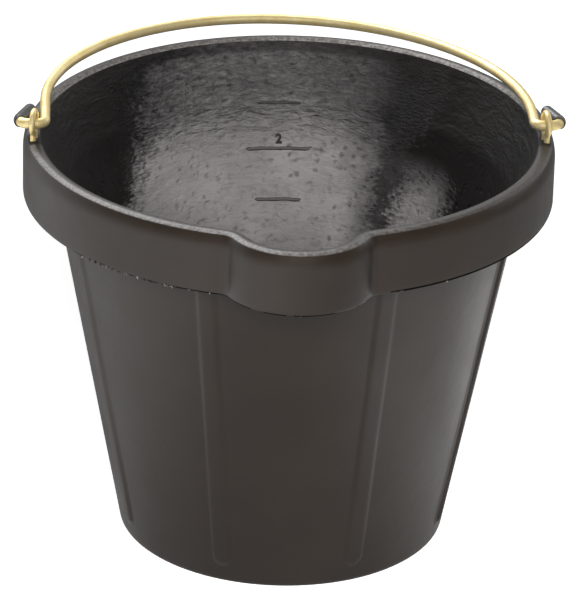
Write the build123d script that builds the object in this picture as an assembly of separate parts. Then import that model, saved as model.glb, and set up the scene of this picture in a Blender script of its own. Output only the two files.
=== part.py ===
"""Round moulded rubber pail with a pouring lip, two wire eyes and a hooked wire bail.

Millimetres. +Z is up, the base stands on z = 0 and the pail's axis is Z.
The pouring lip points along -Y and the two eyes stand on the rim at +X and -X.
"""
from build123d import *
import math
import os

# Pail
rim_height = 266.0
band_depth = 40.5
band_radius = 165.0
ledge_radius = 145.0
base_radius = 103.0
wall = 7.0
floor_thickness = 9.0
base_edge_round = 4.0
floor_round = 10.0

# Rim section
rim_width = 10.5
rim_outer_round = 6.5
rim_inner_round = 3.5

# Pouring lip
lip_reach = 24.0
lip_nose_radius = 46.5
lip_side_radius = 9.0

# Ribs on the outside of the wall
rib_count = 8
rib_width = 13.0
rib_height = 1.4
rib_edge_round = 1.2
rib_root = 2.0
rib_foot_gap = 13.0

# Bail wire
bail_wire = 6.4
bail_inset = 6.8
bail_leg = 26.0
bail_skew = 10.0
elbow_radius = 5.0
bar_length = 5.0
hook_radius = 5.5
hook_turn = 112.0
hook_length = 17.0

# Black sleeve over each hook's end
sleeve_wall = 0.6
sleeve_clearance = 0.1
sleeve_wrap = 45.0
sleeve_cap = 1.2
sleeve_end_round = 2.5

# Wire eyes moulded into the rim
eye_wire = 3.8
eye_inset = 7.2
eye_forward = 14.0
eye_twist = 10.0
eye_loop_bore = 9.6
eye_leg_gap = 5.2
eye_neck_radius = 4.0
eye_centre_lift = 10.2
eye_depth = 26.0
eye_foot_radius = 3.2
eye_foot_length = 2.0
bar_drop = 1.1

# Steel anchor plates buried in the band
plate_length = 20.0
plate_width = 7.0
plate_thickness = 2.0
buried_clearance = 0.1

# Worked out from the sizes above
ledge_height = rim_height - band_depth
wall_slope = (ledge_radius - base_radius) / ledge_height
wall_angle = math.degrees(math.atan(wall_slope))
inner_ledge_radius = ledge_radius - wall
inner_floor_radius = base_radius + wall_slope * floor_thickness - wall
rim_inner_radius = band_radius - rim_width
eye_offset = band_radius - eye_inset
eye_loop_radius = (eye_loop_bore + eye_wire) / 2
eye_loop_height = rim_height + eye_centre_lift
pivot_height = eye_loop_height - bar_drop
bail_half_span = eye_offset - bail_inset
bail_left_radius = bail_half_span - bail_skew
bail_right_radius = bail_half_span + bail_skew
sleeve_radius = bail_wire / 2 + sleeve_clearance + sleeve_wall


def turned(heading):
    """The unit vector at an angle from +X, in degrees."""
    angle = math.radians(heading)
    return Vector(math.cos(angle), math.sin(angle))


def bent_path(start, heading, moves):
    """A flat chain of straight runs (length,) and tangent bends (radius, turn), from a start and heading."""
    edges = []
    point = Vector(*start)
    for move in moves:
        if len(move) == 1:
            edge = Line(point, point + turned(heading) * move[0])
        else:
            radius, turn = move
            edge = JernArc(point, turned(heading), radius, turn)
            heading += turn
        edges.append(edge)
        point = edge @ 1
    return Wire([piece for edge in edges for piece in edge.edges()])


def swept_wire(path, radius):
    """A round wire along a path."""
    section = Plane(origin=path @ 0, z_dir=path % 0) * Circle(radius)
    return sweep(section, path=path)


def lip_centres(radius, reach, nose, side):
    """The centres of the lip's nose arc and of its right side arc, beside a round rim."""
    nose_y = -(radius + reach - nose)
    side_far = radius + side
    side_y = (side_far**2 - (nose + side)**2 + nose_y**2) / (2 * nose_y)
    side_x = math.sqrt(side_far**2 - side_y**2)
    return Vector(0, nose_y), Vector(side_x, side_y)


def lip_outline(radius, reach, nose, side, height):
    """A round outline whose front swells into the lip, as four tangent arcs at a height."""
    nose_centre, side_centre = lip_centres(radius, reach, nose, side)
    on_rim = side_centre * (radius / (radius + side))
    on_nose = nose_centre + (side_centre - nose_centre) * (nose / (nose + side))
    toward = nose_centre + Vector(0, -nose)
    middle = (on_rim + on_nose) * 0.5 - side_centre
    on_side = side_centre + middle.normalized() * side
    arcs = [
        ThreePointArc(on_rim, (0, radius), mirrored(on_rim)),
        ThreePointArc(mirrored(on_rim), mirrored(on_side), mirrored(on_nose)),
        ThreePointArc(mirrored(on_nose), toward, on_nose),
        ThreePointArc(on_nose, on_side, on_rim),
    ]
    return raised(arcs, height)


def round_outline(radius, rim_angle, nose_angle, height):
    """A full circle cut into four arcs that face those of a lip outline."""
    on_rim = turned(rim_angle) * radius
    on_nose = turned(nose_angle) * radius
    on_side = turned((rim_angle + nose_angle) / 2) * radius
    arcs = [
        ThreePointArc(on_rim, (0, radius), mirrored(on_rim)),
        ThreePointArc(mirrored(on_rim), mirrored(on_side), mirrored(on_nose)),
        ThreePointArc(mirrored(on_nose), (0, -radius), on_nose),
        ThreePointArc(on_nose, on_side, on_rim),
    ]
    return raised(arcs, height)


def mirrored(point):
    """The same point on the other side of the lip's middle plane."""
    return Vector(-point.X, point.Y)


def raised(arcs, height):
    """A closed wire of the arcs, lifted to a height."""
    wire = Wire([edge for arc in arcs for edge in arc.edges()])
    return wire.moved(Location((0, 0, height)))


def pail_body():
    """The tapered outside up to the ledge, as a solid of revolution with a rounded base edge."""
    outline = Polyline((0, 0), (base_radius, 0), (ledge_radius, ledge_height), (0, ledge_height), close=True)
    face = make_face(outline)
    corner = face.vertices().sort_by_distance((base_radius, 0))[0]
    return revolve(Plane.XZ * fillet(corner, base_edge_round), axis=Axis.Z)


def lower_cavity():
    """The inside from the floor to the ledge, with a rounded corner at the floor."""
    outline = Polyline(
        (0, floor_thickness),
        (inner_floor_radius, floor_thickness),
        (inner_ledge_radius, ledge_height),
        (0, ledge_height),
        close=True,
    )
    face = make_face(outline)
    corner = face.vertices().sort_by_distance((inner_floor_radius, floor_thickness))[0]
    return revolve(Plane.XZ * fillet(corner, floor_round), axis=Axis.Z)


def upper_cavity():
    """The flared mouth, which runs from a plain circle at the ledge to the rim's inside with its lip."""
    nose = lip_nose_radius - rim_width
    side = lip_side_radius + rim_width
    nose_centre, side_centre = lip_centres(rim_inner_radius, lip_reach, nose, side)
    on_nose = nose_centre + (side_centre - nose_centre) * (nose / (nose + side))
    rim_angle = math.degrees(math.atan2(side_centre.Y, side_centre.X))
    nose_angle = math.degrees(math.atan2(on_nose.Y, on_nose.X))
    foot = round_outline(inner_ledge_radius, rim_angle, nose_angle, ledge_height)
    mouth = lip_outline(rim_inner_radius, lip_reach, nose, side, rim_height)
    return Solid.make_loft([foot, mouth], ruled=True)


def rim_band():
    """The heavy band round the mouth, with its lip and its rounded top edges."""
    outline = lip_outline(band_radius, lip_reach, lip_nose_radius, lip_side_radius, ledge_height)
    band = extrude(make_face(outline), band_depth)
    top_edges = band.faces().sort_by(Axis.Z)[-1].edges()
    band = fillet(top_edges, rim_outer_round)
    band = band - upper_cavity()
    mouth_edges = band.faces().sort_by(Axis.Z)[-1].inner_wires()[0].edges()
    return fillet(mouth_edges, rim_inner_round)


def rib():
    """One low flat rib on the wall at +X, with rounded edges and a round lower end, running up into the band."""
    foot_radius = base_radius + wall_slope * rib_foot_gap
    length = (ledge_height - rib_foot_gap) / math.cos(math.radians(wall_angle)) + rib_root
    up_wall = Vector(math.sin(math.radians(wall_angle)), 0, math.cos(math.radians(wall_angle)))
    outward = Vector(up_wall.Z, 0, -up_wall.X)
    foot = Vector(foot_radius, 0, rib_foot_gap)
    straight = length - rib_width / 2
    on_wall = Plane(origin=foot - outward * rib_root, x_dir=(0, 1, 0), z_dir=outward)
    outline = Pos(0, rib_width / 2 + straight / 2) * Rectangle(rib_width, straight)
    outline += Pos(0, rib_width / 2) * Circle(rib_width / 2)
    strip = extrude(on_wall * outline, rib_root + rib_height)
    top = strip.faces().sort_by(Axis((0, 0, 0), outward))[-1]
    long_edges = [edge for edge in top.edges() if (edge @ 0.5 - foot).dot(up_wall) < length - 0.01]
    return fillet(long_edges, rib_edge_round)


def ear_place(side):
    """Where an eye enters the rim: side is +1 on the right and -1 on the left."""
    return Vector(side * eye_offset, -eye_forward, 0)


def eye_path():
    """The right eye's wire: a foot, a leg, a round loop, the other leg and its foot."""
    neck_reach = eye_leg_gap / 2 + eye_neck_radius
    neck_span = eye_loop_radius + eye_neck_radius
    neck_turn = math.degrees(math.acos(neck_reach / neck_span))
    neck_height = eye_loop_height - math.sqrt(neck_span**2 - neck_reach**2)
    foot_height = rim_height - eye_depth
    leg_length = neck_height - foot_height - eye_foot_radius
    start = (-(eye_leg_gap / 2 + eye_foot_radius + eye_foot_length), foot_height)
    moves = [
        (eye_foot_length,),
        (eye_foot_radius, 90),
        (leg_length,),
        (eye_neck_radius, neck_turn),
        (eye_loop_radius, -(180 + 2 * neck_turn)),
        (eye_neck_radius, neck_turn),
        (leg_length,),
        (eye_foot_radius, 90),
        (eye_foot_length,),
    ]
    twist = math.radians(eye_twist)
    across = Vector(-math.sin(twist), math.cos(twist), 0)
    plane = Plane(origin=ear_place(1), x_dir=across, z_dir=across.cross(Vector(0, 0, 1)))
    return plane.from_local_coords(bent_path(start, 0, moves))


def anchor_plate(grow=0.0):
    """The right anchor plate, a flat bar with two holes that sits on the eye's feet inside the band."""
    twist = math.radians(eye_twist)
    bottom = rim_height - eye_depth + eye_foot_radius + buried_clearance
    middle = ear_place(1) + Vector(0, 0, bottom + plate_thickness / 2)
    plate = Box(plate_width + 2 * grow, plate_length + 2 * grow, plate_thickness + 2 * grow)
    plate = fillet(plate.edges().filter_by(Axis.Z), plate_width / 4)
    if grow == 0.0:
        for side in (1, -1):
            leg = Pos(-side * math.sin(twist) * eye_leg_gap / 2, side * math.cos(twist) * eye_leg_gap / 2)
            plate -= leg * Cylinder(eye_wire / 2 + buried_clearance, 2 * plate_thickness)
    return Pos(*middle) * plate


def bail_moves():
    """The bail from the left hook's tip to the right one, in its own plane with the pivot at y = 0."""
    hook = [(hook_length,), (hook_radius, hook_turn), (bar_length,), (elbow_radius, 90)]
    left_leg = bail_leg + bail_skew - elbow_radius
    right_leg = bail_leg - bail_skew - elbow_radius
    arch = [(left_leg,), (bail_left_radius, -90), (bail_right_radius, -90), (right_leg,)]
    return hook + arch + hook[::-1]


def hook_bend_start():
    """How far from the pail's middle the straight bar ends and the hook's bend begins."""
    return bail_half_span + elbow_radius + bar_length


def bail_plane():
    """The bail's plane at rest, folded back level over the rim."""
    return Plane(origin=(0, -eye_forward, pivot_height), x_dir=(1, 0, 0), z_dir=(0, 0, 1))


def bail_path():
    """The whole bail in place."""
    turn = math.radians(hook_turn)
    tip_x = hook_bend_start() + hook_radius * math.sin(turn) + hook_length * math.cos(turn)
    tip_y = hook_radius * (1 - math.cos(turn)) + hook_length * math.sin(turn)
    return bail_plane().from_local_coords(bent_path((-tip_x, tip_y), 180 + 180 - hook_turn, bail_moves()))


def hook_sleeve():
    """The right hook's closed sleeve, from part way round the bend to past the wire's tip."""
    heading = hook_turn - sleeve_wrap
    angle = math.radians(heading)
    start = (hook_bend_start() + hook_radius * math.sin(angle), hook_radius * (1 - math.cos(angle)))
    bend = (hook_radius, sleeve_wrap)
    skin_path = bail_plane().from_local_coords(bent_path(start, heading, [bend, (hook_length + sleeve_cap,)]))
    bore_path = bail_plane().from_local_coords(
        bent_path(start, heading, [bend, (hook_length + sleeve_clearance,)])
    )
    skin = swept_wire(skin_path, sleeve_radius)
    tip_edges = skin.edges().filter_by(GeomType.CIRCLE).sort_by_distance(skin_path @ 1)[:1]
    skin = fillet(tip_edges, sleeve_end_round)
    return skin - swept_wire(bore_path, bail_wire / 2 + sleeve_clearance)


def other_side(shape):
    """The left twin of a right-hand piece."""
    return mirror(shape, about=Plane.YZ)


def bucket_shell():
    """The one-piece moulding: wall, floor, ribs, band and lip, with the pockets the ironwork sits in."""
    shell = pail_body()
    step = 360 / rib_count
    for index in range(rib_count):
        shell += Rot(0, 0, (index + 0.5) * step) * rib()
    shell = shell + rim_band()
    shell = shell - lower_cavity()
    pockets = [swept_wire(eye_path(), eye_wire / 2 + buried_clearance), anchor_plate(buried_clearance)]
    for pocket in pockets:
        shell = shell - pocket
        shell = shell - other_side(pocket)
    return shell


eye = swept_wire(eye_path(), eye_wire / 2)
plate = anchor_plate()
sleeve = hook_sleeve()
pieces = {
    "bucket_shell": bucket_shell(),
    "eye_right": eye,
    "eye_left": other_side(eye),
    "anchor_plate_right": plate,
    "anchor_plate_left": other_side(plate),
    "bail": swept_wire(bail_path(), bail_wire / 2),
    "hook_sleeve_right": sleeve,
    "hook_sleeve_left": other_side(sleeve),
}

os.makedirs("parts", exist_ok=True)
for name, piece in pieces.items():
    export_step(piece, f"parts/{name}.step")
    print(name, "volume", round(piece.volume), "mm3")
print("pivot height", round(pivot_height, 2), "pivot y", -eye_forward)
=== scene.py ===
# %% [markdown]
# # A moulded rubber pail with a wire bail
#
# The pail is one thick rubber moulding with a pouring lip. Two wire eyes stand on its rim and a
# hooked wire bail swings in them. The solid model is loaded first as a fixed frame, in metres.

# %% Load the frame
import math
import bmesh
import bpy
from mathutils import Matrix, Vector


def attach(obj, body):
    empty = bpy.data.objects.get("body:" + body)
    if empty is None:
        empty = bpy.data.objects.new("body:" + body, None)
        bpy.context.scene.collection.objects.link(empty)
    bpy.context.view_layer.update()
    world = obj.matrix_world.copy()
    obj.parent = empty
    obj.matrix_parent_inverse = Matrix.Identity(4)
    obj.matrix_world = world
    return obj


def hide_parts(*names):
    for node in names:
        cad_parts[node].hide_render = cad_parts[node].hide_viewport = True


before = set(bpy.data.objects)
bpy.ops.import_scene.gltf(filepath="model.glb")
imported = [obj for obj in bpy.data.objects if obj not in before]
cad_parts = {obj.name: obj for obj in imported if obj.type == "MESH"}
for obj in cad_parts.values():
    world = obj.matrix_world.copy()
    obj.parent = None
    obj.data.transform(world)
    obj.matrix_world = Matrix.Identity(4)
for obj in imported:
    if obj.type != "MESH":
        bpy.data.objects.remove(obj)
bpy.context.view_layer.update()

MM = 0.001

# %% [markdown]
# ## Writing formulas as nodes
#
# The pail's shape follows a rule, and a rule is easiest to read as a formula. Geometry Nodes and
# material trees both work out numbers with Math nodes, which could be placed and wired one by one.
# Here a small class stands for a number that varies over the surface: adding or multiplying two of
# them adds the Math node that does it, so a tree is written as the formula that it computes. Three
# short words stand for formulas that come often: ramp is a smooth step from 0 to 1, toward goes a
# share of the way to another number, and spare is what a share of the number leaves of one.


# %% A number that builds its own nodes
class Field:
    def __init__(self, tree, socket):
        self.tree = tree
        self.socket = socket

    def math(self, operation, *others):
        node = self.tree.nodes.new("ShaderNodeMath")
        node.operation = operation
        for slot, value in zip(node.inputs, (self,) + others):
            feed(self.tree, slot, value)
        return Field(self.tree, node.outputs[0])

    def __add__(self, other):
        return self.math("ADD", other)

    def __sub__(self, other):
        return self.math("SUBTRACT", other)

    def __mul__(self, other):
        return self.math("MULTIPLY", other)

    def __truediv__(self, other):
        return self.math("DIVIDE", other)

    __radd__ = __add__
    __rmul__ = __mul__

    def above(self, limit):
        return self.math("GREATER_THAN", limit)

    def toward(self, other, share):
        return self + (other - self) * share

    def spare(self, share=1.0):
        return self * -share + 1.0

    def ramp(self, low, high):
        node = self.tree.nodes.new("ShaderNodeMapRange")
        node.interpolation_type = "SMOOTHSTEP"
        feed(self.tree, node.inputs[0], self)
        feed(self.tree, node.inputs[1], low)
        feed(self.tree, node.inputs[2], high)
        return Field(self.tree, node.outputs[0])


def feed(tree, socket, value):
    """Puts a plain value on a socket, or wires a field or another socket to it."""
    if isinstance(value, Field):
        tree.links.new(value.socket, socket)
    elif isinstance(value, bpy.types.NodeSocket):
        tree.links.new(value, socket)
    else:
        socket.default_value = value


def add_node(tree, kind, settings=None, **inputs):
    """A node with its settings, and its inputs by name with underscores for spaces."""
    node = tree.nodes.new(kind)
    for key, value in (settings or {}).items():
        setattr(node, key, value)
    for key, value in inputs.items():
        feed(tree, node.inputs[key.replace("_", " ")], value)
    return node


def axes_of(tree, vector):
    """The three coordinates of a vector, as fields."""
    node = add_node(tree, "ShaderNodeSeparateXYZ", Vector=vector)
    return [Field(tree, output) for output in node.outputs]


print("formula helpers ready")

# %% [markdown]
# ## Starting and applying a Geometry Nodes tree
#
# Every tree below has named inputs for its sizes. A modifier keeps those inputs under identifiers,
# so the values are looked up by name here and set by identifier. The result is then made a plain
# mesh, because a finished piece shouldn't depend on a live tree.


# %% Tree and piece helpers
def start_tree(name, inputs):
    """A new tree and its inputs: fields for numbers and plain sockets for the rest."""
    tree = bpy.data.node_groups.new(name, "GeometryNodeTree")
    tree.interface.new_socket("Geometry", in_out="INPUT", socket_type="NodeSocketGeometry")
    tree.interface.new_socket("Geometry", in_out="OUTPUT", socket_type="NodeSocketGeometry")
    for label, kind in inputs.items():
        tree.interface.new_socket(label, in_out="INPUT", socket_type="NodeSocket" + kind)
    source = tree.nodes.new("NodeGroupInput")
    given = {"Geometry": source.outputs["Geometry"]}
    for label, kind in inputs.items():
        socket = source.outputs[label]
        given[label] = Field(tree, socket) if kind in ("Float", "Int") else socket
    return tree, given


def end_tree(tree, geometry, material, *others):
    """Closes a tree with real geometry, smooth faces and its material, and others on chosen faces."""
    real = add_node(tree, "GeometryNodeRealizeInstances", Geometry=geometry)
    smooth = add_node(tree, "GeometryNodeSetShadeSmooth", Geometry=real.outputs[0])
    painted = add_node(tree, "GeometryNodeSetMaterial", Geometry=smooth.outputs[0], Material=material)
    for other, chosen in others:
        painted = add_node(tree, "GeometryNodeSetMaterial", Geometry=painted.outputs[0],
                           Selection=chosen, Material=other)
    out = tree.nodes.new("NodeGroupOutput")
    feed(tree, out.inputs["Geometry"], painted.outputs[0])


def named(tree, name):
    """A number stored on the points under a name."""
    node = add_node(tree, "GeometryNodeInputNamedAttribute", {"data_type": "FLOAT"}, Name=name)
    return Field(tree, node.outputs["Attribute"])


def store(tree, geometry, name, value):
    """Keeps a number on the points under a name, and returns the geometry that carries it."""
    node = add_node(tree, "GeometryNodeStoreNamedAttribute", {"data_type": "FLOAT", "domain": "POINT"},
                    Geometry=geometry, Name=name, Value=value)
    return node.outputs["Geometry"]


def add_object(name, data):
    """A new object in the scene that shows the given data."""
    thing = bpy.data.objects.new(name, data)
    bpy.context.scene.collection.objects.link(thing)
    return thing


def line_object(name, points, closed=False, numbers=None):
    """A chain of points joined by edges, with numbers stored on its points."""
    mesh = bpy.data.meshes.new(name)
    edges = [(i, i + 1) for i in range(len(points) - 1)]
    if closed:
        edges.append((len(points) - 1, 0))
    mesh.from_pydata([tuple(p) for p in points], edges, [])
    for key, values in (numbers or {}).items():
        mesh.attributes.new(key, "FLOAT", "POINT").data.foreach_set("value", values)
    return add_object(name, mesh)


def made_by(tree, piece, **values):
    """Runs a tree on a piece with the given inputs and leaves a plain mesh."""
    modifier = piece.modifiers.new(tree.name, "NODES")
    modifier.node_group = tree
    places = {item.name: item.identifier for item in tree.interface.items_tree if item.in_out == "INPUT"}
    for key, value in values.items():
        modifier[places[key.replace("_", " ")]] = value
    depsgraph = bpy.context.evaluated_depsgraph_get()
    mesh = bpy.data.meshes.new_from_object(
        piece.evaluated_get(depsgraph), preserve_all_data_layers=True, depsgraph=depsgraph)
    piece.modifiers.clear()
    rough = piece.data
    piece.data = mesh
    bpy.data.meshes.remove(rough)
    mesh.name = piece.name
    return piece


def face_outward(piece):
    """Turns a closed mesh the right way out if its volume comes out negative."""
    shape = bmesh.new()
    shape.from_mesh(piece.data)
    if shape.calc_volume(signed=True) < 0:
        bmesh.ops.reverse_faces(shape, faces=shape.faces)
        shape.to_mesh(piece.data)
    loose = sum(1 for edge in shape.edges if len(edge.link_faces) != 2)
    litres = shape.calc_volume() * 1000
    print(piece.name, "faces", len(shape.faces), "open edges", loose, "litres", round(litres, 4))
    shape.free()


def fit_out(piece, body, slot, *nodes):
    """Rides a finished piece on its body and hides the solids that it stands for. The slot is not used."""
    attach(piece, body)
    if nodes:
        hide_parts(*nodes)


print("piece helpers ready")

# %% [markdown]
# ## The rubber
#
# The moulding is black rubber, smooth and half matt outside. Inside, the core of the mould left a
# wrinkled skin in the flared mouth, and a painted grey sheen with small pits and scuffs lies on the
# back wall. One material could mix both, but how strongly a surface mirrors is a plain setting of its
# shader, so the outside and the inside have finishes of their own, and so have the painted shade line
# under the band and the trimmed flash there. Numbers stored on the mesh shade them: how far inside a
# point lies, how near it is to the crest of the rim, where the crest is paler with chalky wear and a
# painted highlight, how near to the parting line, and how far it stands up on a rib, because the ribs
# on the right are scuffed.


# %% Material helpers
def cleared_tree(owner):
    """The node tree of a material or a world, emptied."""
    owner.use_nodes = True
    owner.node_tree.nodes.clear()
    return owner.node_tree


def start_material(name):
    """An empty node material with its shader and its Object coordinates."""
    material = bpy.data.materials.new(name)
    tree = cleared_tree(material)
    shader = tree.nodes.new("ShaderNodeBsdfPrincipled")
    out = tree.nodes.new("ShaderNodeOutputMaterial")
    tree.links.new(shader.outputs[0], out.inputs["Surface"])
    place = tree.nodes.new("ShaderNodeTexCoord").outputs["Object"]
    return material, tree, shader, place


def noise(tree, place, scale, detail=3.0, roughness=0.55, distortion=0.0):
    """Cloudy noise, with its scale in repeats per metre."""
    node = add_node(tree, "ShaderNodeTexNoise", Vector=place, Scale=scale, Detail=detail,
                    Roughness=roughness, Distortion=distortion)
    return Field(tree, node.outputs[0])


def stretched(tree, place, scale):
    """The same coordinates, stretched by a scale along each axis."""
    return add_node(tree, "ShaderNodeMapping", Vector=place, Scale=scale).outputs[0]


def point_number(tree, name):
    """A number that the mesh carries on its points."""
    node = add_node(tree, "ShaderNodeAttribute", {"attribute_name": name})
    return Field(tree, node.outputs["Fac"])


def colour_mix(tree, share, low, high):
    """A colour between two, by a share."""
    node = add_node(tree, "ShaderNodeMix", {"data_type": "RGBA"})
    feed(tree, node.inputs[0], share)
    feed(tree, node.inputs[6], low)
    feed(tree, node.inputs[7], high)
    return node.outputs[2]


def bump(tree, height, depth, below=None):
    """A bump whose depth is in metres, laid over another one if given."""
    node = add_node(tree, "ShaderNodeBump", Height=height, Strength=1.0, Distance=depth)
    if below is not None:
        feed(tree, node.inputs["Normal"], below)
    return node.outputs[0]


def dress(tree, shader, colour, roughness, normal, **constants):
    """Wires a shader's colour, roughness and normal, and sets its constants by name."""
    for label, value in (("Base Color", colour), ("Roughness", roughness), ("Normal", normal)):
        feed(tree, shader.inputs[label], value)
    for key, value in constants.items():
        shader.inputs[key.replace("_", " ")].default_value = value


print("material helpers ready")

# %% Rubber outside
EYE_ACROSS, EYE_AHEAD = 0.158, 0.014
# The dark colour of the painted shade under the band and round the eyes.
SHADE_COLOUR = (0.0035, 0.0030, 0.0027, 1)


def outer_rubber_material():
    material, tree, shader, place = start_material("moulded_rubber")
    crest = point_number(tree, "crest")
    cloud = noise(tree, place, 18.0, 4.0)
    speckle = noise(tree, place, 420.0, 2.0, 0.6)
    plain = colour_mix(tree, cloud.ramp(0.3, 0.7), (0.0145, 0.0090, 0.0056, 1), (0.0190, 0.0125, 0.0083, 1))
    across, along, _ = axes_of(tree, place)
    from_eye, ahead = across.math("ABSOLUTE") - EYE_ACROSS, along + EYE_AHEAD
    clear = (from_eye * from_eye + ahead * ahead).ramp(0.00003, 0.00012)
    # The crest is paler, on its outer half in front and on its inner half at the back: speckled chalky wear
    # and a painted highlight, paler still at the back right and weaker at the front right.
    behind = along.ramp(-0.03, 0.06)
    facing = crest.ramp(0.0, 0.25) * crest.ramp(0.56, 0.68).spare(0.92)
    crown = facing.toward(crest.ramp(0.62, 0.82), behind)
    front_right = across.ramp(-0.04, 0.12) * behind.spare()
    chalk_and_highlight = crown * (speckle.ramp(0.35, 0.65) * 0.6 + 0.4) * front_right.spare(0.8) * clear
    pale = across.ramp(-0.05, 0.1) * behind
    chalk_and_highlight_colour = colour_mix(tree, pale, (0.225, 0.214, 0.207, 1), (0.420, 0.405, 0.395, 1))
    worn = colour_mix(tree, chalk_and_highlight, plain, chalk_and_highlight_colour)
    # Painted shade darkens the parting line under the band, and the crest round the eyes where the hooks and bail
    # shade it.
    crumbs = noise(tree, place, 160.0, 3.0, 0.6).ramp(0.35, 0.55)
    seam_shade = point_number(tree, "parting").ramp(0.5, 1.0) * (crumbs * 0.5 + 0.5)
    painted_shade = seam_shade.math("MAXIMUM", (clear * -0.8 + 0.8) * crest.ramp(0.0, 0.4))
    mottle = noise(tree, place, 26.0, 5.0, 0.6)
    scuffed = point_number(tree, "raised").ramp(0.5, 0.95) * across.ramp(0.065, 0.09)
    matt = mottle * 0.2 + 0.3 + scuffed * 0.5
    grain = noise(tree, place, 900.0, 2.0, 0.6)
    relief = bump(tree, grain * (crown * 2.0 + 1.0), 0.00006, bump(tree, mottle, 0.0005))
    dress(tree, shader, colour_mix(tree, painted_shade, worn, SHADE_COLOUR), matt + chalk_and_highlight * 0.08 + painted_shade * 0.4, relief,
          Specular_IOR_Level=0.5)
    return material


rubber = outer_rubber_material()
print("made", rubber.name)


# %% Rubber inside
def ruffled(tree, place, scale, reach):
    """The place moved about by a noise, so that round spots come out ragged."""
    swirl = add_node(tree, "ShaderNodeTexNoise", Vector=place, Scale=scale, Detail=2.0)
    shift = add_node(tree, "ShaderNodeVectorMath", {"operation": "SCALE"}, Scale=reach)
    feed(tree, shift.inputs[0], swirl.outputs["Color"])
    moved = add_node(tree, "ShaderNodeVectorMath", {"operation": "ADD"})
    feed(tree, moved.inputs[0], place)
    feed(tree, moved.inputs[1], shift.outputs[0])
    return moved.outputs[0]


def inner_rubber_material():
    material, tree, shader, place = start_material("moulded_rubber_inside")
    deep = point_number(tree, "inside").ramp(0.45, 1.0)
    across, along, rise = axes_of(tree, place)
    cloud = noise(tree, place, 22.0, 4.0)
    crease = noise(tree, stretched(tree, place, (1.0, 1.0, 2.6)), 240.0, 4.0, 0.7)
    ragged = (noise(tree, place, 34.0, 4.0, 0.6) - 0.5) * 0.3 + (crease - 0.5) * 0.35
    aside = across.math("ARCTAN2", along) + ragged
    # The painted grey sheen: between a left and a right edge that soften with height, weaker near the top,
    # with a painted sheen patch beside it.
    left_edge = (rise - 0.2) * 4.0 - 0.86
    soft = rise.ramp(0.18, 0.25)
    left = ((aside - left_edge + soft * 0.2) / (soft * 0.3 + 0.24)).ramp(0.0, 1.0)
    right = ((aside - 0.26 + soft * 0.24) / (soft * 0.5 + 0.36)).ramp(0.0, 1.0)
    painted_sheen = left * right.spare()
    sheen_patch = (aside.ramp(0.52, 0.78) - aside.ramp(0.84, 1.0)) * rise.ramp(0.15, 0.21).spare() * 1.5
    arch = rise + aside * aside * 0.035 + ragged * 0.02
    fade = arch.ramp(0.212, 0.245).spare(0.36) * rise.ramp(0.2555, 0.259).spare(0.6)
    painted_sheen = ((painted_sheen + sheen_patch).math("MINIMUM", 1.0) * fade - 0.1) * rise.ramp(0.025, 0.11) + 0.1
    # Cracks, pits, smudges and scuffs break the painted sheen up; its darkening in the creases is painted shade.
    crack = crease.ramp(0.36, 0.60)
    pit_cells = add_node(tree, "ShaderNodeTexVoronoi", Vector=ruffled(tree, place, 300.0, 0.004), Scale=150.0)
    pit = Field(tree, pit_cells.outputs["Distance"]).ramp(0.04, 0.40)
    smudge = noise(tree, stretched(tree, place, (1.0, 1.0, 1.5)), 80.0, 5.0, 0.65).ramp(0.58, 0.74)
    scuff = noise(tree, stretched(tree, place, (1.0, 1.0, 2.2)), 210.0, 5.0, 0.65, 1.2).ramp(0.56, 0.72)
    blotch = noise(tree, place, 130.0, 5.0, 0.7).ramp(0.3, 0.7) * 0.32 + 0.86
    edge = painted_sheen * painted_sheen.spare() * 4.0
    broken = (deep.spare(0.75) + edge * 0.5).math("MINIMUM", 1.0)
    pitted = (pit - 1.0) * cloud.ramp(0.35, 0.6) * 0.55 + 1.0
    painted_crease_shade = (crack - 0.75) * broken * 0.4 + 1.0
    worn = painted_sheen * blotch * scuff.spare(0.5) * pitted * smudge.spare(0.3) * painted_crease_shade
    # Bare black rubber, and the grey of the painted sheen.
    bare = colour_mix(tree, cloud.ramp(0.3, 0.7), (0.0060, 0.0050, 0.0048, 1), (0.0095, 0.0080, 0.0077, 1))
    grey = colour_mix(tree, cloud.ramp(0.3, 0.7), (0.225, 0.213, 0.212, 1), (0.290, 0.273, 0.274, 1))
    # The skin is wrinkled in the mouth and nearly flat further down.
    wrinkle = noise(tree, stretched(tree, place, (1.0, 1.0, 2.2)), 130.0, 6.0, 0.62, 0.8)
    fold = noise(tree, stretched(tree, place, (1.0, 1.0, 2.8)), 58.0, 3.0, 0.5, 0.6)
    folds = wrinkle * 1.5 + crease * 0.5 + fold * 2.0
    skin = folds * deep.spare(0.88) * (painted_sheen.ramp(0.0, 0.3) * 0.93 + 0.07) + pit * deep * 0.12
    fine = bump(tree, noise(tree, place, 900.0, 2.0, 0.6), 0.00006)
    matt = noise(tree, place, 55.0, 4.0) * 0.16 + 0.4 + painted_sheen * 0.1
    dress(tree, shader, colour_mix(tree, worn, bare, grey), matt, bump(tree, skin, 0.0055, fine),
          Specular_IOR_Level=0.35)
    return material


rubber_inside = inner_rubber_material()
print("made", rubber_inside.name)


# %% Painted shade under the band, and rubber of the flash
def rough_rubber_material(name, dark, light, coarse, matt=0.5, mirror=0.35):
    """Patchy rubber between two colours, with its patches' scale in repeats per metre."""
    material, tree, shader, place = start_material(name)
    worn = noise(tree, place, coarse, 3.0, 0.6)
    dress(tree, shader, colour_mix(tree, worn.ramp(0.4, 0.65), (*dark, 1), (*light, 1)), worn * 0.15 + matt,
          bump(tree, worn, 0.0003), Specular_IOR_Level=mirror)
    return material


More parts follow.
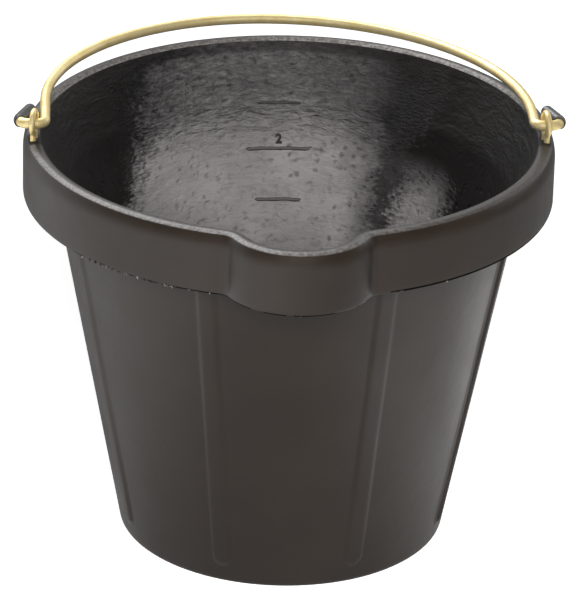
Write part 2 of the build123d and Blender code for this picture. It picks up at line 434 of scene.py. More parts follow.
# Painted shade: a near black, matt rubber for the dark line under the band's lower edge.
under_band_shade_rubber = rough_rubber_material("under_band_shade_rubber", (0.0020, 0.0018, 0.0017), (0.0060, 0.0052, 0.0048),
                                       120.0, matt=0.85, mirror=0.1)
flash_rubber = rough_rubber_material("flash_rubber", (0.012, 0.010, 0.009), (0.22, 0.205, 0.19), 190.0)
print("made", under_band_shade_rubber.name, flash_rubber.name)

# %% [markdown]
# ## The wire, the sleeves and the buried plates
#
# The bail and the eyes are brass-plated wire with a satin surface: drawn wire has fine lines along
# it, and plating dulls in patches. The sleeves on the hooks are glossy black, and the plates that
# hold the eyes inside the rubber are plain steel, which no one sees until the pail is cut open.


# %% Metal and sleeve materials
def brass_material():
    material, tree, shader, place = start_material("brass_wire")
    along, around = point_number(tree, "along"), point_number(tree, "around")
    unrolled = add_node(tree, "ShaderNodeCombineXYZ", X=along * 14.0, Y=around * 9.0).outputs[0]
    drawn = noise(tree, unrolled, 3.0, 4.0, 0.6)
    cloud = noise(tree, place, 60.0, 4.0)
    dull = noise(tree, place, 220.0, 3.0, 0.6).ramp(0.5, 0.8)
    bright = colour_mix(tree, cloud.ramp(0.3, 0.7), (0.86, 0.68, 0.31, 1), (0.96, 0.80, 0.44, 1))
    dress(tree, shader, colour_mix(tree, dull * 0.25, bright, (0.46, 0.34, 0.14, 1)),
          drawn * 0.16 + dull * 0.1 + 0.37, bump(tree, drawn + cloud * 0.5, 0.00012), Metallic=0.72)
    return material


def sleeve_material():
    material, tree, shader, place = start_material("black_sleeve")
    cloud = noise(tree, place, 160.0, 3.0)
    black = colour_mix(tree, cloud.ramp(0.3, 0.7), (0.012, 0.012, 0.013, 1), (0.03, 0.03, 0.032, 1))
    dress(tree, shader, black, noise(tree, place, 300.0) * 0.16 + 0.2,
          bump(tree, noise(tree, place, 700.0), 0.00008))
    return material


def steel_material():
    material, tree, shader, place = start_material("plain_steel")
    grain = noise(tree, stretched(tree, place, (12.0, 1.0, 1.0)), 180.0, 4.0)
    steely = colour_mix(tree, grain.ramp(0.3, 0.7), (0.42, 0.42, 0.43, 1), (0.56, 0.56, 0.56, 1))
    dress(tree, shader, steely, grain * 0.2 + 0.3, bump(tree, grain, 0.00005), Metallic=1.0)
    return material


brass = brass_material()
black_sleeve = sleeve_material()
steel = steel_material()
print("made", brass.name, black_sleeve.name, steel.name)

# %% [markdown]
# ## The pail's section
#
# A pail is thought of as a section carried round its axis. The section starts in the middle of the
# base, climbs the wall, steps out under the band, goes over the rounded rim and comes down inside to
# the middle of the floor. It could be drawn as a curve, but the band isn't round: it swells into the
# lip. So each point of the section holds numbers instead: its radius where the pail is round, its
# height, how far it stands in from the band's face, and how much of the lip's shape it takes. The
# rim's round is a chain of arcs, each with its radius and the angles that it leans through.

# %% Sizes of the pail
rim_height = 266 * MM
band_depth = 40.5 * MM
band_radius = 165 * MM
ledge_radius = 145 * MM
base_radius = 103 * MM
wall = 7 * MM
floor_thickness = 9 * MM
rim_top = 265.1 * MM
ledge_height = rim_height - band_depth
wall_slope = (ledge_radius - base_radius) / ledge_height
inner_ledge_radius = ledge_radius - wall
inner_floor_radius = base_radius + wall_slope * floor_thickness - wall

section = []


def spot(radius, rise, inset=0.0, lip=0.0, inside=0.0, crest=0.0, ribs=0.0, parting=0.0):
    """Adds one point of the section."""
    section.append(dict(girth=radius, rise=rise, inset=inset, lip=lip, inside=inside, crest=crest, ribs=ribs,
                        parting=parting))


def rounded(start, corner, end, steps):
    """Points along a rounded corner from start to end, with both ends."""
    for i in range(steps + 1):
        t = i / steps
        a, b, c = (1 - t)**2, 2 * t * (1 - t), t**2
        yield [a * p + b * q + c * r for p, q, r in zip(start, corner, end)]


def evenly(low, high, steps):
    """Numbers strictly between two values."""
    return [low + (high - low) * i / steps for i in range(1, steps)]


print("wall leans", round(math.degrees(math.atan(wall_slope)), 1), "degrees")

# %% Outside of the section, from the middle of the base to the rim
for radius in (0.0, 25, 50, 75, 92):
    spot(radius * MM, 0.0)
edge = 3.4 * MM
foot = (base_radius + wall_slope * edge, edge)
for radius, rise in rounded((base_radius - edge, 0.0), (base_radius, 0.0), foot, 5):
    spot(radius, rise)
under = 1.5 * MM
rib_feet = [11 * MM + 1.5 * MM * i for i in range(8)]
wall_rises = [5 * MM, 8 * MM] + rib_feet + evenly(23 * MM, ledge_height - under, 32)
for rise in wall_rises:
    spot(base_radius + wall_slope * rise, rise, ribs=1.0)
below = (ledge_radius - wall_slope * under, ledge_height - under, 0.0, 1.0)
for radius, rise, lip, ribs in rounded(below, (ledge_radius, ledge_height, 0.0, 1.0),
                                       (ledge_radius, ledge_height, 0.08, 0.0), 4):
    spot(radius, rise, lip=lip, ribs=ribs)
for lip in evenly(0.08, 0.95, 6):
    spot(ledge_radius, ledge_height, lip=lip)
corner = 2.0 * MM
for inset, rise in rounded((corner, ledge_height), (0.0, ledge_height), (0.0, ledge_height + corner), 5):
    spot(ledge_radius, rise, inset=inset, lip=1.0, parting=1.0 - (rise - ledge_height) / (1.6 * corner))
crest_start, crest_end, flare_start = 40, 115, 158
rim_arcs = ((20 * MM, 0, 25), (2.5 * MM, 25, 60), (7.2 * MM, 60, crest_end), (3.0 * MM, crest_end, flare_start))
arc_steps = 7
rim_points = [(0.0, 0.0, 0)]
for radius, low, high in rim_arcs:
    start_inset, start_rise = rim_points[-1][:2]
    for i in range(1, arc_steps + 1):
        lean = low + (high - low) * i / arc_steps
        before, now = math.radians(low), math.radians(lean)
        rim_points.append((start_inset + radius * (math.cos(before) - math.cos(now)),
                           start_rise + radius * (math.sin(now) - math.sin(before)), lean))
turn_height = rim_top - max(rise for inset, rise, lean in rim_points)
for rise in evenly(ledge_height + corner, turn_height, 10):
    spot(0.0, rise, lip=1.0)
for inset, rise, lean in rim_points:
    if lean <= crest_end:
        crest = max(0.0, (lean - crest_start) / (crest_end - crest_start))
        spot(0.0, turn_height + rise, lip=1.0, inset=inset, crest=crest)
print("section points outside", len(section))

# %% Inside of the section, from the rim to the middle of the floor
flare_inset, flare_rise = rim_points[-1][0], turn_height + rim_points[-1][1]
for inset, rise, lean in rim_points:
    if lean > crest_end:
        inside = 0.3 * (lean - crest_end) / (flare_start - crest_end)
        crest = min(1.0, (flare_start - lean) / 22)
        spot(0.0, turn_height + rise, lip=1.0, inset=inset, inside=inside, crest=crest)
for lip in evenly(1.0, 0.0, 20):
    rise = ledge_height + (flare_rise - ledge_height) * lip
    spot(inner_ledge_radius, rise, inset=flare_inset, lip=lip, inside=0.6 - 0.3 * lip)
corner_run = 7.4 * MM
inner_slope = (inner_ledge_radius - inner_floor_radius) / (ledge_height - floor_thickness)
top_of_corner = floor_thickness + corner_run
for rise in [ledge_height] + evenly(ledge_height, top_of_corner, 70):
    inside = min(1.0, 0.6 + 0.4 * (ledge_height - rise) / (30 * MM))
    spot(inner_floor_radius + inner_slope * (rise - floor_thickness), rise, inside=inside)
for radius, rise in rounded((inner_floor_radius + inner_slope * corner_run, top_of_corner),
                            (inner_floor_radius, floor_thickness),
                            (inner_floor_radius - corner_run, floor_thickness), 6):
    spot(radius, rise, inside=1.0)
for radius in (75, 55, 35, 15, 0):
    spot(radius * MM, floor_thickness, inside=1.0)
print("section points in all", len(section))

# %% [markdown]
# ## Carrying the section round the lip
#
# Seen from above, the band is a circle whose front swells into a round nose, and on each side a
# small hollow arc joins the two. In a direction at some angle from the lip, the outline's distance
# from the axis is therefore one of three formulas: the nose's circle, the hollow arc or the rim's
# circle. Points that stand in from the band's face use the same three circles, made smaller or
# larger by that inset. The tree below sweeps the section round a circle only for its faces, then
# places every point by that rule, raises the ribs and lets the rubber wave a little, as thick rubber
# does when it leaves its mould. Last it gives the inside its finish, and the parting line a painted
# shade where a noise leaves the gap open, which is broader and less broken towards the right.

# %% Where the lip's circles lie
lip_reach = 24 * MM
lip_nose_radius = 46.5 * MM
lip_side_radius = 9 * MM
nose_far = band_radius + lip_reach - lip_nose_radius
side_far = band_radius + lip_side_radius
side_nose = lip_nose_radius + lip_side_radius
side_along = (side_far**2 - side_nose**2 + nose_far**2) / (2 * nose_far)
side_across = math.sqrt(side_far**2 - side_along**2)
print("hollow arcs stand", round(side_across / MM, 1), "mm from the middle,",
      round(side_along / MM, 1), "mm forward")


# %% The pail's tree
def lip_radius(angle, inset, given):
    """The outline's distance from the axis at an angle from the lip and an inset from the band's face."""
    far, across, along = given["Nose Far"], given["Side Across"], given["Side Along"]
    nose = given["Nose Radius"] - inset
    side = given["Side Radius"] + inset
    side_distance = (across * across + along * along).math("SQRT")
    side_angle = across.math("ARCTAN2", along)
    share = nose / (nose + side)
    nose_angle = (across * share).math("ARCTAN2", far.toward(along, share))
    nose_sine = far * angle.math("SINE")
    on_nose = far * angle.math("COSINE") + (nose * nose - nose_sine * nose_sine).math("SQRT")
    turn = angle - side_angle
    side_sine = side_distance * turn.math("SINE")
    on_side = side_distance * turn.math("COSINE") - (side * side - side_sine * side_sine).math("SQRT")
    front = on_nose.toward(on_side, angle.above(nose_angle))
    return front.toward(given["Band Radius"] - inset, angle.above(side_angle))


def rib_lift(angle, radius, rise, given):
    """The height of the nearest rib at a point of the wall."""
    places = angle * given["Rib Count"] / (2 * math.pi) - 0.5
    away = (places - places.math("ROUND")) * (2 * math.pi) / given["Rib Count"] * radius
    half = given["Rib Width"] * 0.5
    short = (given["Rib Foot"] + half - rise).math("MAXIMUM", 0.0)
    distance = (away * away + short * short).math("SQRT") / half
    return distance.math("POWER", 6.0).spare().math("MAXIMUM", 0.0) * given["Rib Height"]


def pail_tree():
    sizes = ("Crowding", "Band Radius", "Nose Radius", "Side Radius", "Nose Far", "Side Across", "Side Along",
             "Rib Count", "Rib Width", "Rib Height", "Rib Foot", "Wave", "Wrinkle", "Seed")
    finishes = ("Material", "Inside Material", "Parting Material")
    tree, given = start_tree("pail_rule", {
        "Around": "Int", **dict.fromkeys(sizes, "Float"), **dict.fromkeys(finishes, "Material")})
    ring = add_node(tree, "GeometryNodeCurvePrimitiveCircle", Resolution=given["Around"])
    index = Field(tree, tree.nodes.new("GeometryNodeInputIndex").outputs[0])
    path = store(tree, ring.outputs["Curve"], "turn", index / given["Around"] * (2 * math.pi))
    strip = add_node(tree, "GeometryNodeMeshToCurve", Mesh=given["Geometry"])
    sweep = add_node(tree, "GeometryNodeCurveToMesh", Curve=path, Profile_Curve=strip.outputs["Curve"])
    even = named(tree, "turn")
    turn = even - even.math("SINE") * given["Crowding"]
    angle = (turn + math.pi).math("WRAP", 2 * math.pi, 0.0) - math.pi
    aside = angle.math("ABSOLUTE")
    outline = lip_radius(aside, named(tree, "inset"), given)
    radius = named(tree, "girth").toward(outline, named(tree, "lip"))
    rise = named(tree, "rise")
    ribbed = rib_lift(aside, radius, rise, given) * named(tree, "ribs")
    lifted = radius + ribbed
    across, along = turn.math("SINE"), turn.math("COSINE") * -1.0
    place = add_node(tree, "ShaderNodeCombineXYZ", X=lifted * across, Y=lifted * along, Z=rise).outputs[0]
    seeded = {"Vector": place, "W": given["Seed"]}
    drift = add_node(tree, "ShaderNodeTexNoise", {"noise_dimensions": "4D"}, **seeded, Scale=11.0, Detail=1.0)
    crease = add_node(tree, "ShaderNodeTexNoise", {"noise_dimensions": "4D"}, **seeded, Scale=46.0, Detail=4.0,
                      Roughness=0.55, Distortion=0.8)
    inside = named(tree, "inside")
    outer_wave = Field(tree, drift.outputs[0]) * given["Wave"] * inside.spare()
    inner_wave = (Field(tree, crease.outputs[0]) - 0.5) * given["Wrinkle"] * inside
    clear = (radius / 0.02).math("MINIMUM", 1.0)
    settled = lifted - (outer_wave + inner_wave) * clear
    final = add_node(tree, "ShaderNodeCombineXYZ", X=settled * across, Y=settled * along, Z=rise).outputs[0]
    marked = store(tree, sweep.outputs[0], "raised", ribbed / given["Rib Height"])
    placed = add_node(tree, "GeometryNodeSetPosition", Geometry=marked, Position=final)
    closed = add_node(tree, "GeometryNodeMergeByDistance", Geometry=placed.outputs[0], Distance=0.00001)
    right_side = across.math("MAXIMUM", 0.0)
    parting = named(tree, "parting")
    broken = noise(tree, place, 55.0, 3.0, 0.5) + across * 0.12 + right_side * 0.12
    # Painted shade: the dark line under the band, where a noise leaves the gap open.
    shade_line = broken.above(0.48) * (parting + right_side * 0.5).above(0.65) * parting.above(0.3)
    end_tree(tree, closed.outputs[0], given["Material"], (given["Inside Material"], inside.above(0.22)),
             (given["Parting Material"], shade_line))
    return tree


pail_rule = pail_tree()
print("pail tree ready")

# %% Make the pail
numbers = {key: [point[key] for point in section] for key in section[0]}
pail = line_object("pail_skin", [(p["girth"], 0.0, p["rise"]) for p in section], numbers=numbers)
made_by(pail_rule, pail, Around=480, Crowding=0.55, Band_Radius=band_radius, Nose_Radius=lip_nose_radius,
        Side_Radius=lip_side_radius, Nose_Far=nose_far, Side_Across=side_across, Side_Along=side_along,
        Rib_Count=8.0, Rib_Width=13 * MM, Rib_Height=1.4 * MM, Rib_Foot=13 * MM,
        Wave=0.5 * MM, Wrinkle=1.1 * MM, Seed=3.0, Material=rubber, Inside_Material=rubber_inside,
        Parting_Material=under_band_shade_rubber)
face_outward(pail)
fit_out(pail, "bucket", "moulded_rubber", "bucket_shell")

# %% [markdown]
# ## Wires along their paths
#
# The bail and the eyes are round wire bent to shape. A bent wire is a list of moves, as a bender
# makes it: a straight run, or a bend of some radius through some angle. The moves give the wire's
# middle line, and one tree sweeps a circle along it. It also keeps how far along and around the wire
# each point lies, which the brass uses for its drawn lines.


# %% Bending a wire
def bent_line(start, heading, moves, step=0.8 * MM):
    """Points along straight runs (length,) and bends (radius, turn in degrees), in a plane."""
    point = Vector(start)
    angle = math.radians(heading)
    points = [point.copy()]
    for move in moves:
        if len(move) == 1:
            count = max(1, int(move[0] / (6 * step)))
            for i in range(count):
                points.append(point + Vector((math.cos(angle), math.sin(angle))) * move[0] * (i + 1) / count)
        else:
            radius, turn = move[0], math.radians(move[1])
            side = math.copysign(1.0, turn)
            middle = point + Vector((-math.sin(angle), math.cos(angle))) * radius * side
            count = max(6, int(abs(turn) * radius / (step if radius < 20 * MM else 3 * step)))
            for i in range(1, count + 1):
                bent = angle + turn * i / count
                points.append(middle + Vector((math.sin(bent), -math.cos(bent))) * radius * side)
            angle += turn
        point = points[-1]
    return points


def wire_tree():
    tree, given = start_tree("bent_wire", {"Wire Radius": "Float", "Sides": "Int", "Material": "Material"})
    path = add_node(tree, "GeometryNodeMeshToCurve", Mesh=given["Geometry"]).outputs["Curve"]
    length = Field(tree, tree.nodes.new("GeometryNodeSplineParameter").outputs["Length"])
    path = store(tree, path, "along", length)
    ring = add_node(tree, "GeometryNodeCurvePrimitiveCircle", Resolution=given["Sides"],
                    Radius=given["Wire Radius"])
    share = Field(tree, tree.nodes.new("GeometryNodeSplineParameter").outputs["Factor"])
    ring_path = store(tree, ring.outputs["Curve"], "around", share)
    sweep = add_node(tree, "GeometryNodeCurveToMesh", Curve=path, Profile_Curve=ring_path, Fill_Caps=True)
    end_tree(tree, sweep.outputs[0], given["Material"])
    return tree


wire = wire_tree()
print("wire tree ready")

# %% The bail
bail_wire = 6.4 * MM
eye_offset = band_radius - 7.2 * MM
eye_forward = 14 * MM
pivot_height = 275.1 * MM
bail_half_span = eye_offset - 6.8 * MM
bail_leg, bail_skew = 26 * MM, 10 * MM
elbow_radius, bar_length = 5 * MM, 5 * MM
hook_radius, hook_turn, hook_length = 5.5 * MM, 112.0, 17 * MM

hook = [(hook_length,), (hook_radius, hook_turn), (bar_length,), (elbow_radius, 90)]
arch = [(bail_leg + bail_skew - elbow_radius,), (bail_half_span - bail_skew, -90),
        (bail_half_span + bail_skew, -90), (bail_leg - bail_skew - elbow_radius,)]
bend = math.radians(hook_turn)
bend_start = bail_half_span + elbow_radius + bar_length
tip = (-(bend_start + hook_radius * math.sin(bend) + hook_length * math.cos(bend)),
       hook_radius * (1 - math.cos(bend)) + hook_length * math.sin(bend))
flat_bail = bent_line(tip, 360 - hook_turn, hook + arch + hook[::-1])
bail = line_object("bail_wire", [(p.x, p.y - eye_forward, pivot_height) for p in flat_bail])
made_by(wire, bail, Wire_Radius=bail_wire / 2, Sides=28, Material=brass)
face_outward(bail)
fit_out(bail, "bail", "brass_wire", "bail")

# %% The eyes
eye_wire = 3.8 * MM
eye_loop_radius = (9.6 * MM + eye_wire) / 2
eye_loop_height = rim_height + 10.2 * MM
eye_leg_gap, eye_neck_radius = 5.2 * MM, 4 * MM
eye_depth, eye_foot_radius, eye_foot_length = 26 * MM, 3.2 * MM, 2 * MM
eye_twist = math.radians(10)

neck_reach = eye_leg_gap / 2 + eye_neck_radius
neck_span = eye_loop_radius + eye_neck_radius
neck_turn = math.degrees(math.acos(neck_reach / neck_span))
foot_height = rim_height - eye_depth
leg = eye_loop_height - math.sqrt(neck_span**2 - neck_reach**2) - foot_height - eye_foot_radius
half_eye = [(eye_foot_length,), (eye_foot_radius, 90), (leg,), (eye_neck_radius, neck_turn)]
eye_moves = half_eye + [(eye_loop_radius, -(180 + 2 * neck_turn))] + half_eye[::-1]
eye_start = (-(eye_leg_gap / 2 + eye_foot_radius + eye_foot_length), foot_height)
for side, name in ((1, "right"), (-1, "left")):
    points = [(side * (eye_offset - math.sin(eye_twist) * p.x), -eye_forward + math.cos(eye_twist) * p.x, p.y)
              for p in bent_line(eye_start, 0, eye_moves, 0.4 * MM)]
    eye = line_object("eye_wire_" + name, points)
    made_by(wire, eye, Wire_Radius=eye_wire / 2, Sides=20, Material=brass)
    face_outward(eye)
    fit_out(eye, "bucket", "brass_wire", "eye_" + name)

# %% [markdown]
# ## Solids that keep their own shape
#
# The hook sleeves and the buried plates look right as solids, so they only get their finish.

# %% Finish the solids that stay
for name, finish in (("hook_sleeve", black_sleeve), ("anchor_plate", steel)):
    for side in ("left", "right"):
        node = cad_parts[name + "_" + side]
        node.data.materials.clear()
        node.data.materials.append(finish)
print("finished sleeves and plates")

# %% [markdown]
# ## Level lines inside
#
# Three raised lines on the inner back wall mark levels, the longest with a plain number above it.
# Each line follows the curve of the wall, so a tree bends a short bar round an arc of the wall's own
# radius at that height. The bar is half sunk and a little uneven, as a moulded line is, and two of
# the three turn up in a small hook at one end. Their colour is painted light: a painted highlight on
# the proud top, and painted shade below and where they meet the wall.


# %% Level lines
def inner_radius(rise):
    """The radius of the inside at a height, below or above the ledge."""
    if rise < ledge_height:
        return inner_floor_radius + inner_slope * (rise - floor_thickness)
    share = (rise - ledge_height) / (flare_rise - ledge_height)
    return inner_ledge_radius + (band_radius - flare_inset - inner_ledge_radius) * share


def mark_rubber_material():
    material, tree, shader, place = start_material("mark_rubber")
    worn = noise(tree, place, 260.0, 3.0, 0.6)
    across, along, rise = axes_of(tree, place)
    # Painted light: a painted highlight on the proud top of the bar, and painted shade below it and where it meets
    # the wall.
    foot = rise * inner_slope + (inner_floor_radius - inner_slope * floor_thickness)
    proud = foot - (across * across + along * along).math("SQRT") + (worn - 0.5) * 0.0006
    top = proud.ramp(0.0003, 0.0009) * point_number(tree, "under").ramp(-0.1, 0.45).spare()
    colour = colour_mix(tree, top, (0.019, 0.0175, 0.017, 1), (0.095, 0.089, 0.088, 1))
    dress(tree, shader, colour, worn * 0.2 + 0.5, bump(tree, worn, 0.0003), Specular_IOR_Level=0.35)
    return material


def line_tree():
    tree, given = start_tree("level_line", {
        "Wall Radius": "Float", "Height": "Float", "Length": "Float", "Bar Radius": "Float", "Hook": "Float",
        "Material": "Material"})
    sweep_angle = given["Length"] / given["Wall Radius"]
    arc = add_node(tree, "GeometryNodeCurveArc", Resolution=40, Radius=given["Wall Radius"],
                   Start_Angle=sweep_angle * -0.5 + math.pi / 2, Sweep_Angle=sweep_angle)
    along = Field(tree, tree.nodes.new("GeometryNodeSplineParameter").outputs["Factor"])
    uneven = add_node(tree, "ShaderNodeTexNoise", Scale=110.0, Detail=2.0).outputs[0]
    sway = (Field(tree, uneven) - 0.5) * given["Bar Radius"] * 1.2
    hooked = along.spare().ramp(0.93, 1.0) * given["Hook"]
    lift = add_node(tree, "ShaderNodeCombineXYZ", Z=given["Height"] + (sway + hooked)).outputs[0]
    raised = add_node(tree, "GeometryNodeSetPosition", Geometry=arc.outputs["Curve"], Offset=lift)
    ends = (along * math.pi).math("SINE").ramp(0.0, 0.16) * 0.65 + 0.35
    wobble = add_node(tree, "ShaderNodeTexNoise", Scale=160.0, Detail=2.0).outputs[0]
    thick = ends * (Field(tree, wobble) * 0.5 + 0.75)
    ring = add_node(tree, "GeometryNodeCurvePrimitiveCircle", Resolution=10, Radius=given["Bar Radius"])
    bar = add_node(tree, "GeometryNodeCurveToMesh", Curve=raised.outputs[0], Profile_Curve=ring.outputs["Curve"],
                   Scale=thick, Fill_Caps=True)
    here = axes_of(tree, tree.nodes.new("GeometryNodeInputPosition").outputs[0])
    under = (given["Height"] - here[2]) / given["Bar Radius"]
    end_tree(tree, store(tree, bar.outputs[0], "under", under), given["Material"])
    return tree


mark_rubber = mark_rubber_material()
level_line = line_tree()
level_lines = (("low", 163.5, 30, 1.1, 0.4), ("middle", 197, 43, 1.1, 1.4), ("high", 226.5, 28, 0.8, 0.0))
for name, rise, length, bar, hook in level_lines:
    line = line_object("level_line_" + name, [(0, 0, 0), (0, 0, 0.001)])
    made_by(level_line, line, Wall_Radius=inner_radius(rise * MM) - 0.1 * MM, Height=rise * MM,
            Length=length * MM, Bar_Radius=bar * MM, Hook=hook * MM, Material=mark_rubber)
    face_outward(line)
    fit_out(line, "bucket", "moulded_rubber")

# %% The number above the middle line
figure = bpy.data.curves.new("level_number", "FONT")
figure.body = "2"
figure.size = 8.5 * MM
figure.extrude = 0.9 * MM
figure.bevel_depth = 0.3 * MM
figure.bevel_resolution = 2
figure.align_x = "CENTER"
sketch = add_object("level_number_sketch", figure)
bpy.context.view_layer.update()
number_mesh = bpy.data.meshes.new_from_object(sketch)
bpy.data.objects.remove(sketch)
number_foot = 200.5 * MM
for vertex in number_mesh.vertices:
    rise = number_foot + vertex.co.y
    radius = inner_radius(rise) - vertex.co.z
    angle = vertex.co.x / inner_radius(rise)
    vertex.co = (radius * math.sin(angle), radius * math.cos(angle), rise)
number = add_object("level_number", number_mesh)
number_mesh.materials.clear()
number_mesh.materials.append(mark_rubber)
# The number takes a little of the marks' painted shade all over.
shade = [0.3] * len(number_mesh.vertices)
number_mesh.attributes.new("under", "FLOAT", "POINT").data.foreach_set("value", shade)
shape = bmesh.new()
shape.from_mesh(number_mesh)
bmesh.ops.remove_doubles(shape, verts=shape.verts, dist=0.00001)
bmesh.ops.recalc_face_normals(shape, faces=shape.faces)
shape.to_mesh(number_mesh)
shape.free()
face_outward(number)
fit_out(number, "bucket", "moulded_rubber")

# %% [markdown]
# ## Flash along the band
#
# Rubber squeezes into the gap where the mould's halves meet, at the band's lower edge, and the
# trimmed remains show as small ragged bits. They could be modelled one by one, but they are random
# and they repeat, so a tree scatters one small flake along that edge beside the lip, turned and
# sized at random from a fixed seed, and thicker on the left where the trimming was rougher.


# %% Flash
def flash_tree():
    tree, given = start_tree("trimmed_flash", {
        "Spacing": "Float", "Flake": "Float", "Share": "Float", "Seed": "Int", "Material": "Material"})
    path = add_node(tree, "GeometryNodeMeshToCurve", Mesh=given["Geometry"])
    steps = add_node(tree, "GeometryNodeResampleCurve", {"mode": "LENGTH"}, Curve=path.outputs["Curve"],
                     Length=given["Spacing"])
    rough = named(tree, "rough")
    chance = add_node(tree, "FunctionNodeRandomValue", {"data_type": "FLOAT"}, Seed=given["Seed"])
    picked = (rough * given["Share"]).above(Field(tree, chance.outputs[1]))
    flake = add_node(tree, "GeometryNodeMeshIcoSphere", Subdivisions=1)
    spin = add_node(tree, "FunctionNodeRandomValue", {"data_type": "FLOAT_VECTOR"}, Seed=given["Seed"] + 5)
    spin.inputs["Max"].default_value = (6.28, 6.28, 6.28)
    size = add_node(tree, "FunctionNodeRandomValue", {"data_type": "FLOAT_VECTOR"}, Seed=given["Seed"] + 9)
    size.inputs["Min"].default_value = (0.5, 0.25, 0.2)
    size.inputs["Max"].default_value = (2.2, 0.8, 0.6)
    scaled = add_node(tree, "ShaderNodeVectorMath", {"operation": "SCALE"}, Scale=given["Flake"])
    feed(tree, scaled.inputs[0], size.outputs[0])
    bits = add_node(tree, "GeometryNodeInstanceOnPoints", Points=steps.outputs[0], Selection=picked,
                    Instance=flake.outputs["Mesh"], Rotation=spin.outputs[0], Scale=scaled.outputs[0])
    end_tree(tree, bits.outputs[0], given["Material"])
    return tree


def outline_radius(angle, inset):
    """The lip rule once more, for one angle from the lip."""
    angle = abs(angle)
    nose, side = lip_nose_radius - inset, lip_side_radius + inset
    side_angle = math.atan2(side_across, side_along)
    share = nose / (nose + side)
    nose_angle = math.atan2(side_across * share, nose_far + (side_along - nose_far) * share)
    if angle > side_angle:
        return band_radius - inset
    if angle < nose_angle:
        return nose_far * math.cos(angle) + math.sqrt(nose**2 - (nose_far * math.sin(angle))**2)
    turn = angle - side_angle
    return side_far * math.cos(turn) - math.sqrt(side**2 - (side_far * math.sin(turn))**2)


edge_points = []
roughness_here = []
rough_middle, rough_spread = -38, 22
for angle in [math.radians(a * 0.5) for a in range(-360, 360)]:
    far = outline_radius(angle, 0.3 * MM)
    edge_points.append((far * math.sin(angle), -far * math.cos(angle), ledge_height + 0.6 * MM))
    left_front = math.exp(-((math.degrees(angle) - rough_middle) / rough_spread)**2)
    beside_lip = 0.3 < abs(angle) < 0.92
    roughness_here.append((0.05 + 0.95 * left_front) * beside_lip)
flash = line_object("trimmed_flash", edge_points, closed=True, numbers={"rough": roughness_here})
made_by(flash_tree(), flash, Spacing=1.6 * MM, Flake=0.8 * MM, Share=0.7, Seed=11, Material=flash_rubber)
print("flash faces", len(flash.data.polygons))
fit_out(flash, "bucket", "moulded_rubber")

# %% [markdown]
# ## Floor, light and camera
#
# The pail stands on a plain pale floor in a white room. The front lamp only lights it, and the top
# lamp is only mirrored, which draws the shine. The floor and the room are white to the camera, and
# the floor keeps the pail's shadow. What the rubber mirrors of them is darker: black rubber shows
# its form by what it mirrors, so the floor and the low part of the room are dark behind the pail and
# paler at its sides. The camera stands about three metres away with a long lens, a little to the
# left of the lip and looking down.


# %% Floor and surroundings
def floor_material():
    material = bpy.data.materials.new("pale_floor")
    tree = cleared_tree(material)
    out = tree.nodes.new("ShaderNodeOutputMaterial")
    ray = tree.nodes.new("ShaderNodeLightPath")
    across, along, _ = axes_of(tree, tree.nodes.new("ShaderNodeTexCoord").outputs["Object"])
    away = across * across + along * along
    near = away.ramp(0.12, 0.3).spare()
    back = along.math("MAXIMUM", 0.0)
    outward = across - back * 0.6
    # Painted shadow and reflection: for mirrored rays the floor is darker behind the pail and glows paler at its
    # sides.
    right = (outward.ramp(0.06, 0.22) * 0.6 + outward.ramp(0.1, 0.2) * along.ramp(0.0, 0.1) * 0.6) * near
    left = (across + back * 0.7).ramp(-0.4, -0.08) * -0.7 + 0.7
    glossy = Field(tree, ray.outputs["Is Glossy Ray"])
    beside = (across.math("ABSOLUTE") - 0.1 - back * 0.25).ramp(0.0, 0.06)
    shaded = along.ramp(0.02, 0.1) * beside.spare() * glossy
    tone = shaded * -0.74 + 0.8
    grey = add_node(tree, "ShaderNodeCombineXYZ", X=tone, Y=tone, Z=tone).outputs[0]
    paint = add_node(tree, "ShaderNodeBsdfDiffuse", Color=grey)
    mirrored = glossy * (left + right + 0.03)
    seen = Field(tree, ray.outputs["Is Camera Ray"]) * (away.ramp(0.05, 0.6) * 0.14 + 0.86)
    glow = add_node(tree, "ShaderNodeEmission", Color=(1, 1, 1, 1), Strength=seen + mirrored)
    both = tree.nodes.new("ShaderNodeAddShader")
    feed(tree, both.inputs[0], paint.outputs[0])
    feed(tree, both.inputs[1], glow.outputs[0])
    feed(tree, out.inputs["Surface"], both.outputs[0])
    return material


floor_mesh = bpy.data.meshes.new("floor")
reach = 12.0
floor_mesh.from_pydata([(-reach, -reach, 0), (reach, -reach, 0), (reach, reach, 0), (-reach, reach, 0)],
                       [], [(0, 1, 2, 3)])
floor_mesh.materials.append(floor_material())
floor = add_object("floor", floor_mesh)

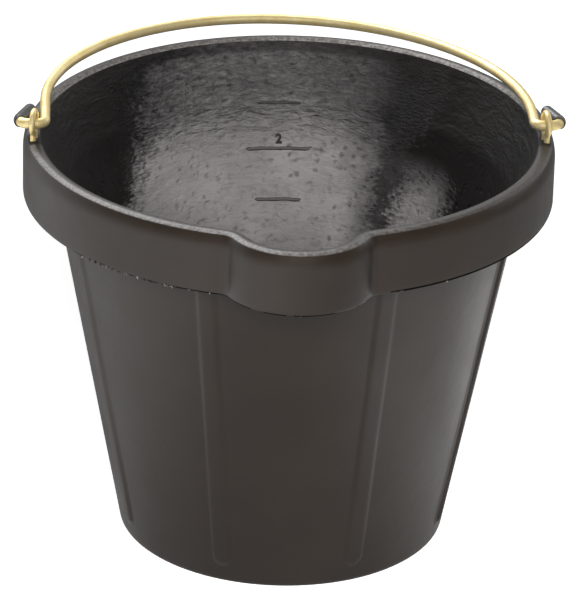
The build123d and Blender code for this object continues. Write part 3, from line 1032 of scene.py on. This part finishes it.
world = bpy.data.worlds.new("white_room")
bpy.context.scene.world = world
air = cleared_tree(world)
ray = air.nodes.new("ShaderNodeLightPath")
seen = Field(air, ray.outputs["Is Camera Ray"])
mirrored = Field(air, ray.outputs["Is Glossy Ray"]).math("MAXIMUM", Field(air, ray.outputs["Is Transmission Ray"]))
sideways, backward, upward = axes_of(air, air.nodes.new("ShaderNodeTexCoord").outputs["Generated"])
low_back = upward.ramp(0.1, 0.3).spare() * sideways.math("ABSOLUTE").ramp(0.3, 0.6).spare()
behind = backward.ramp(-0.1, 0.35) * low_back.spare(0.85)
ahead = (upward * 0.5 - backward * 0.866).ramp(0.80, 0.98)
room = behind * upward.ramp(0.55, 0.8).spare(0.9) * 0.95 + ahead * 0.8 + 0.16
strength = (mirrored * 0.92 + 0.08) * room
back = add_node(air, "ShaderNodeBackground", Color=(1, 1, 1, 1), Strength=strength.math("MAXIMUM", seen))
feed(air, air.nodes.new("ShaderNodeOutputWorld").inputs["Surface"], back.outputs[0])
print("floor and white room ready")

# %% Lamps
AIM_HEIGHT = 0.18


def lamp_at(name, side, height, away, size, power, mirrored=False):
    """A lamp at an angle to the right of the lip and above the floor, in degrees, aimed at the pail."""
    side, height = math.radians(side), math.radians(height)
    toward_lamp = Vector((math.sin(side) * math.cos(height), -math.cos(side) * math.cos(height), math.sin(height)))
    lamp = bpy.data.lights.new(name, "AREA")
    lamp.shape = "RECTANGLE"
    lamp.size, lamp.size_y = size
    lamp.energy = power
    holder = add_object(name, lamp)
    holder.location = Vector((0, 0, AIM_HEIGHT)) + away * toward_lamp
    holder.rotation_euler = (-toward_lamp).to_track_quat("-Z", "Y").to_euler()
    holder.visible_glossy, holder.visible_diffuse = mirrored, not mirrored
    print("lamp", name, power, "W")


lamp_at("front_lamp", 0, 30, 2.6, (1.0, 0.8), 80.0)
lamp_at("top_lamp", -150, 50, 2.2, (1.5, 1.2), 40.0, mirrored=True)

# %% Camera
distance, focal_pixels, image_height = 3.0, 4770.0, 600.0
elevation, roll, turned = math.radians(24.83), math.radians(1.38), math.radians(3.0)
aim_x, aim_z = 1.92 * MM, 149.65 * MM
place = Vector((aim_x, -distance * math.cos(elevation), aim_z + distance * math.sin(elevation)))
forward = Vector((0, math.cos(elevation), -math.sin(elevation)))
up = Vector((0, math.sin(elevation), math.cos(elevation)))
right = Vector((1, 0, 0))
axes = Matrix((right * math.cos(roll) + up * math.sin(roll),
               up * math.cos(roll) - right * math.sin(roll), -forward)).transposed()
view = Matrix.Rotation(-turned, 4, "Z") @ (Matrix.Translation(place) @ axes.to_4x4())
lens = bpy.data.cameras.new("camera")
lens.sensor_width = 36.0
lens.lens = focal_pixels / image_height * lens.sensor_width
camera = add_object("camera", lens)
camera.matrix_world = view
bpy.context.scene.camera = camera
bpy.context.scene.view_settings.view_transform = "Standard"
print("camera lens", round(lens.lens, 1), "mm")
